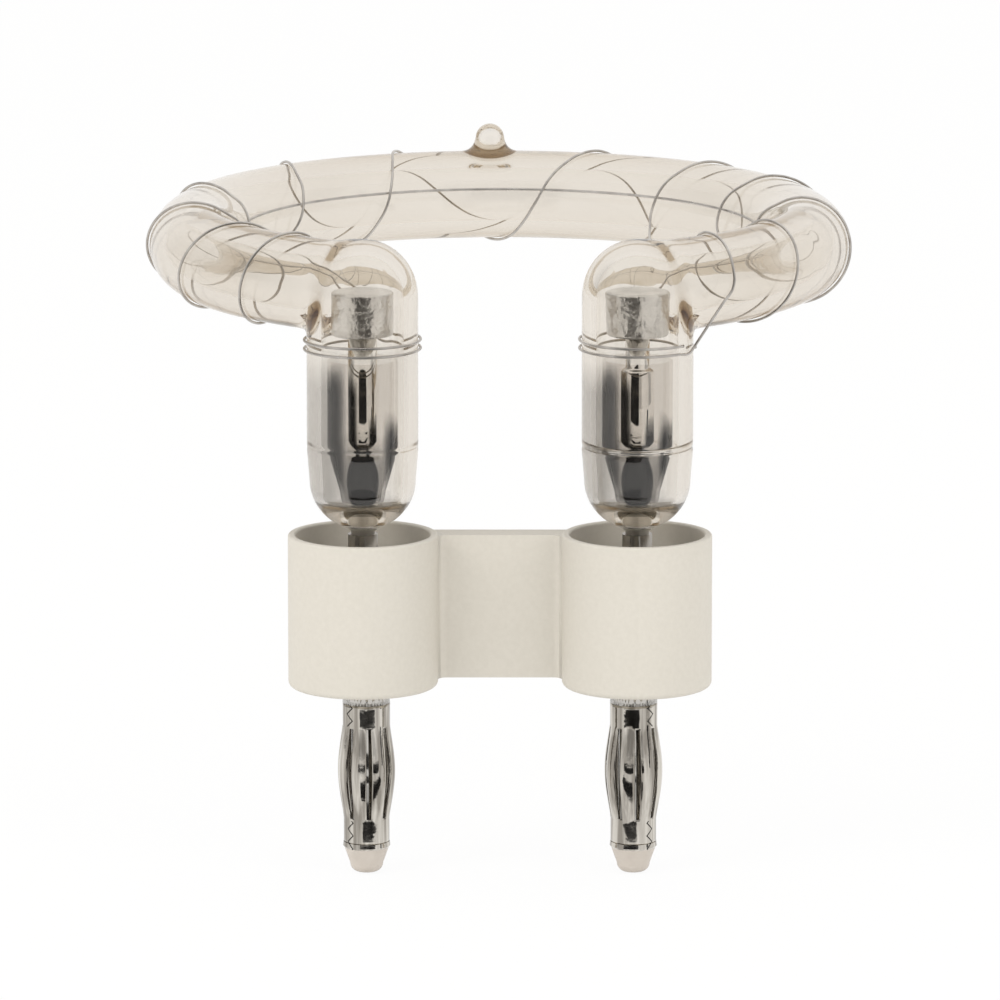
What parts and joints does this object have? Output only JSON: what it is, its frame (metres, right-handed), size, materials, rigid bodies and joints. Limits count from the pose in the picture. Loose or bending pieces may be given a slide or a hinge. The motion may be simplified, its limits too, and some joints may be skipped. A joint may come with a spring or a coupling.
{
  "type": "xenon flash tube",
  "caption": "Plug-in ring flash tube: C-shaped glass tube on two glass legs with electrodes, trigger wire, ceramic double-cup base and spring banana plugs.",
  "frame": {"origin": "midway between the two plug axes, in the plane of the ceramic base's underside, where the tube seats on its sockets", "axes": "+Z from the plugs up towards the ring tube; +Y from the legs towards the ring's centre; +X from the left leg to the right leg seen from the front"},
  "size_m": [0.0605, 0.06, 0.0562],
  "materials": {
    "clear_glass": "clear",
    "smoky_glass": "smoky clear",
    "ceramic": "matt",
    "trigger_wire": "bright drawn",
    "sintered_metal": "satin",
    "polished_rod": "polished",
    "dark_seal": "glossy dark glass-metal seal",
    "nickel": "bright nickel",
    "lead_metal": "dull",
    "spring_metal": "nickel plated",
    "tip_plastic": "matt"
  },
  "bodies": {
    "root": {"glass_envelope": "clear_glass", "ceramic_base": "ceramic", "trigger_winding": "trigger_wire", "trigger_stay": "trigger_wire", "electrode_head_left": "sintered_metal", "electrode_rod_left": "polished_rod", "seal_bead_left": "dark_seal", "seal_sleeve_left": "smoky_glass", "lead_ferrule_left": "nickel", "lead_sleeve_left": "lead_metal", "plug_pin_left": "nickel", "spring_cage_left": "spring_metal", "plug_end_ring_left": "spring_metal", "insulating_tip_left": "tip_plastic", "electrode_head_right": "sintered_metal", "electrode_rod_right": "polished_rod", "seal_bead_right": "dark_seal", "seal_sleeve_right": "smoky_glass", "lead_ferrule_right": "nickel", "lead_sleeve_right": "lead_metal", "plug_pin_right": "nickel", "spring_cage_right": "spring_metal", "plug_end_ring_right": "spring_metal", "insulating_tip_right": "tip_plastic"}
  },
  "joints": []
}
